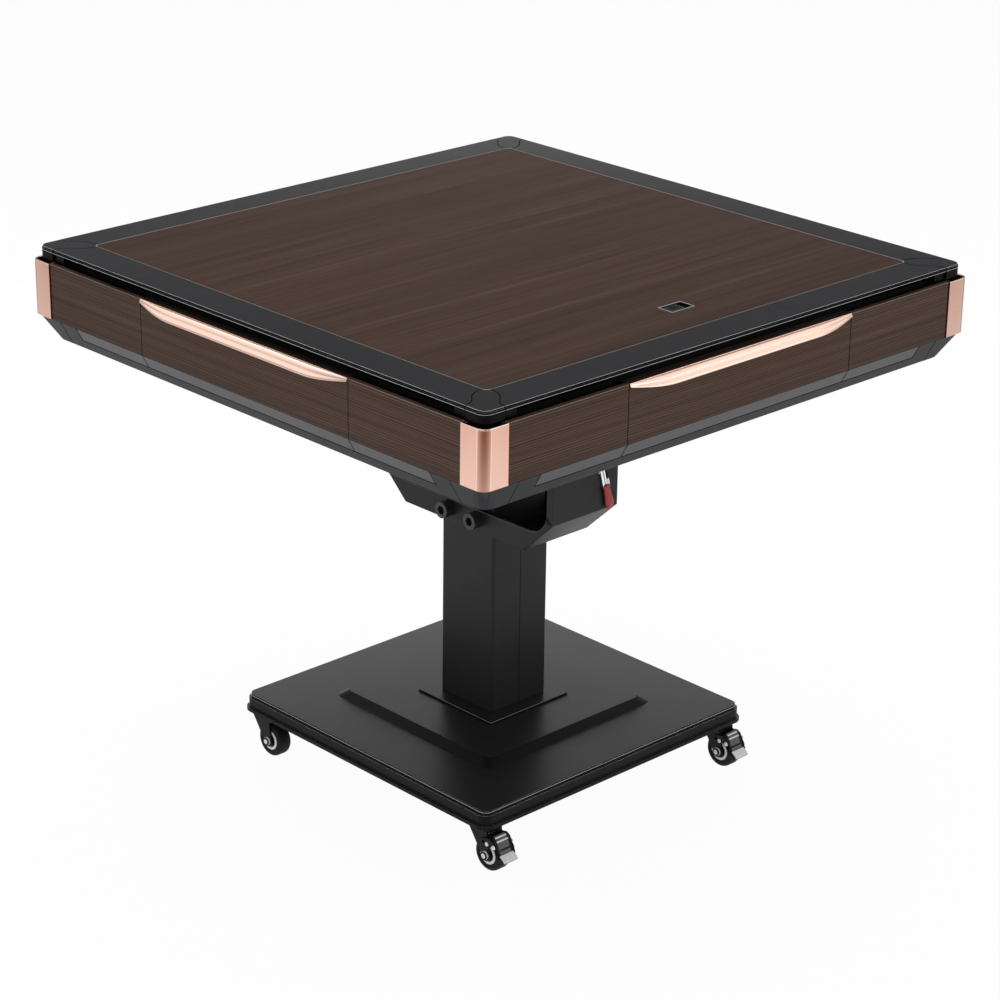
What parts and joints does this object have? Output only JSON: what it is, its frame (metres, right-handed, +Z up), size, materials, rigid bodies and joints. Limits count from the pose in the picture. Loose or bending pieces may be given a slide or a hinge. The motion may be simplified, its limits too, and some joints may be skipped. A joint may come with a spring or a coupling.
{
  "type": "automatic mahjong table",
  "caption": "Square tilting games table with side drawers, a lift-off dining cover, rising tile lifts and dice console, on a square column with a wheeled base.",
  "frame": {"origin": "on the floor under the middle of the table", "axes": "+Z up; -Y is the front, with the cover's pull and the latch lever; -X is the hinge side"},
  "size_m": [0.938, 0.938, 0.771],
  "materials": {
    "base_paint": "satin black powder coat",
    "frame_steel": "dark grey paint",
    "zinc_steel": "zinc plated",
    "chrome_steel": "polished chrome",
    "rubber_tyre": "matte black rubber",
    "roller_rubber": "matte rubber",
    "black_nylon": "satin moulded nylon",
    "red_grip": "soft moulded red",
    "skirt_plastic": "satin grey plastic",
    "frame_plastic": "satin black plastic",
    "dark_wood": "dark brown wood grain",
    "rose_metal": "rose-gold anodised",
    "trim_metal": "bronze anodised",
    "board_wood": "raw board",
    "felt": "short pile felt",
    "white_plastic": "satin white plastic",
    "dome_glass": "clear",
    "button_plastic": "gloss red",
    "motor_steel": "dark steel"
  },
  "bodies": {
    "stand": {"base_shell": "base_paint", "base_frame": "frame_steel", "column_foot": "base_paint", "column_tube": "frame_steel", "column_cover_left": "base_paint", "column_cover_right": "base_paint", "cradle": "base_paint", "cradle_bolts": "zinc_steel", "hinge_shaft": "zinc_steel", "caster_plates": "zinc_steel"},
    "head": {"head_frame": "frame_steel", "bottom_pan": "base_paint", "skirt_rails": "skirt_plastic", "skirt_corners": "skirt_plastic", "fascia_panels": "dark_wood", "corner_caps": "rose_metal", "top_frame_rails": "frame_plastic", "top_frame_corners": "frame_plastic", "play_board": "board_wood", "play_felt": "felt", "drawer_runners": "black_nylon", "drum_motor": "motor_steel", "power_inlet": "black_nylon", "control_box": "white_plastic"},
    "latch": {"latch_shaft": "zinc_steel", "latch_lever": "chrome_steel", "latch_grip": "red_grip"},
    "cover": {"dining_cover": "dark_wood", "cover_edge_trim": "trim_metal", "pull_bezel": "zinc_steel"},
    "cover_flap": {"pull_flap": "zinc_steel"},
    "lifts": {"tile_lifts": "white_plastic"},
    "console": {"console_body": "frame_plastic", "dice_dome": "dome_glass"},
    "roll_button": {"dice_button": "button_plastic"},
    "drum": {"tile_drum": "white_plastic"},
    "roller": {"drive_roller": "roller_rubber"},
    "rocker": {"power_rocker": "red_grip"},
    "drawer_front": {"drawer_tray_front": "black_nylon", "drawer_front_front": "dark_wood", "drawer_handle_front": "rose_metal"},
    "drawer_right": {"drawer_tray_right": "black_nylon", "drawer_front_right": "dark_wood", "drawer_handle_right": "rose_metal"},
    "drawer_rear": {"drawer_tray_rear": "black_nylon", "drawer_front_rear": "dark_wood", "drawer_handle_rear": "rose_metal"},
    "drawer_left": {"drawer_tray_left": "black_nylon", "drawer_front_left": "dark_wood", "drawer_handle_left": "rose_metal"},
    "swivel_front_left": {"caster_fork_front_left": "frame_steel"},
    "wheel_front_left": {"caster_wheel_front_left": "rubber_tyre"},
    "swivel_front_right": {"caster_fork_front_right": "frame_steel"},
    "wheel_front_right": {"caster_wheel_front_right": "rubber_tyre"},
    "swivel_rear_left": {"caster_fork_rear_left": "frame_steel"},
    "wheel_rear_left": {"caster_wheel_rear_left": "rubber_tyre"},
    "swivel_rear_right": {"caster_fork_rear_right": "frame_steel"},
    "wheel_rear_right": {"caster_wheel_rear_right": "rubber_tyre"},
    "pedal_front_left": {"caster_pedal_front_left": "black_nylon"},
    "pedal_front_right": {"caster_pedal_front_right": "black_nylon"}
  },
  "joints": [
    {"name": "head_tilt", "type": "hinge", "parent": "stand", "child": "head", "pos_m": [-0.07, 0, 0.56], "axis": [0, 1, 0], "range_deg": [-90, 0]},
    {"name": "latch_turn", "type": "hinge", "parent": "stand", "child": "latch", "pos_m": [0.027, 0, 0.507], "axis": [0, -1, 0], "range_deg": [0, 24]},
    {"name": "cover_lift", "type": "slide", "parent": "head", "child": "cover", "axis": [0, 0, 1], "range_m": [0, 0.3]},
    {"name": "tile_lift", "type": "slide", "parent": "head", "child": "lifts", "axis": [0, 0, 1], "range_m": [0, 0.036]},
    {"name": "console_lift", "type": "slide", "parent": "head", "child": "console", "axis": [0, 0, 1], "range_m": [0, 0.08]},
    {"name": "flap_hinge", "type": "hinge", "parent": "cover", "child": "cover_flap", "pos_m": [0.012, -0.3163, 0.7695], "axis": [-1, 0, 0], "range_deg": [0, 90]},
    {"name": "button_press", "type": "slide", "parent": "console", "child": "roll_button", "axis": [0, 0, -1], "range_m": [0, 0.0025], "stiffness_N_per_m": 300},
    {"name": "drum_spin", "type": "hinge", "parent": "head", "child": "drum", "pos_m": [0, 0, 0.68], "axis": [0, 0, 1], "continuous": true},
    {"name": "roller_spin", "type": "hinge", "parent": "head", "child": "roller", "pos_m": [0.18547, 0.18547, 0.68], "axis": [0, 0, 1], "continuous": true},
    {"name": "rocker_tip", "type": "hinge", "parent": "head", "child": "rocker", "pos_m": [0.147, 0.25, 0.578], "axis": [0, 1, 0], "range_deg": [-10, 10]},
    {"name": "drawer_slide_front", "type": "slide", "parent": "head", "child": "drawer_front", "axis": [0, -1, 0], "range_m": [0, 0.11]},
    {"name": "drawer_slide_right", "type": "slide", "parent": "head", "child": "drawer_right", "axis": [1, 0, 0], "range_m": [0, 0.11]},
    {"name": "drawer_slide_rear", "type": "slide", "parent": "head", "child": "drawer_rear", "axis": [0, 1, 0], "range_m": [0, 0.11]},
    {"name": "drawer_slide_left", "type": "slide", "parent": "head", "child": "drawer_left", "axis": [-1, 0, 0], "range_m": [0, 0.11]},
    {"name": "swivel_turn_front_left", "type": "hinge", "parent": "stand", "child": "swivel_front_left", "pos_m": [-0.233, -0.233, 0.06], "axis": [0, 0, 1], "continuous": true},
    {"name": "wheel_spin_front_left", "type": "hinge", "parent": "swivel_front_left", "child": "wheel_front_left", "pos_m": [-0.233, -0.248, 0.025], "axis": [1, 0, 0], "continuous": true},
    {"name": "swivel_turn_front_right", "type": "hinge", "parent": "stand", "child": "swivel_front_right", "pos_m": [0.233, -0.233, 0.06], "axis": [0, 0, 1], "continuous": true},
    {"name": "wheel_spin_front_right", "type": "hinge", "parent": "swivel_front_right", "child": "wheel_front_right", "pos_m": [0.233, -0.248, 0.025], "axis": [1, 0, 0], "continuous": true},
    {"name": "swivel_turn_rear_left", "type": "hinge", "parent": "stand", "child": "swivel_rear_left", "pos_m": [-0.233, 0.233, 0.06], "axis": [0, 0, 1], "continuous": true},
    {"name": "wheel_spin_rear_left", "type": "hinge", "parent": "swivel_rear_left", "child": "wheel_rear_left", "pos_m": [-0.233, 0.218, 0.025], "axis": [1, 0, 0], "continuous": true},
    {"name": "swivel_turn_rear_right", "type": "hinge", "parent": "stand", "child": "swivel_rear_right", "pos_m": [0.233, 0.233, 0.06], "axis": [0, 0, 1], "continuous": true},
    {"name": "wheel_spin_rear_right", "type": "hinge", "parent": "swivel_rear_right", "child": "wheel_rear_right", "pos_m": [0.233, 0.218, 0.025], "axis": [1, 0, 0], "continuous": true},
    {"name": "pedal_lift_front_left", "type": "hinge", "parent": "swivel_front_left", "child": "pedal_front_left", "pos_m": [-0.233, -0.246, 0.046], "axis": [-1, 0, 0], "range_deg": [0, 20]},
    {"name": "pedal_lift_front_right", "type": "hinge", "parent": "swivel_front_right", "child": "pedal_front_right", "pos_m": [0.233, -0.246, 0.046], "axis": [-1, 0, 0], "range_deg": [0, 20]}
  ],
  "couplings": [
    {"joint": "tile_lift", "follows": "cover_lift", "ratio": 0.12},
    {"joint": "console_lift", "follows": "cover_lift", "ratio": 0.26667},
    {"joint": "roller_spin", "follows": "drum_spin", "ratio": -10.909}
  ]
}
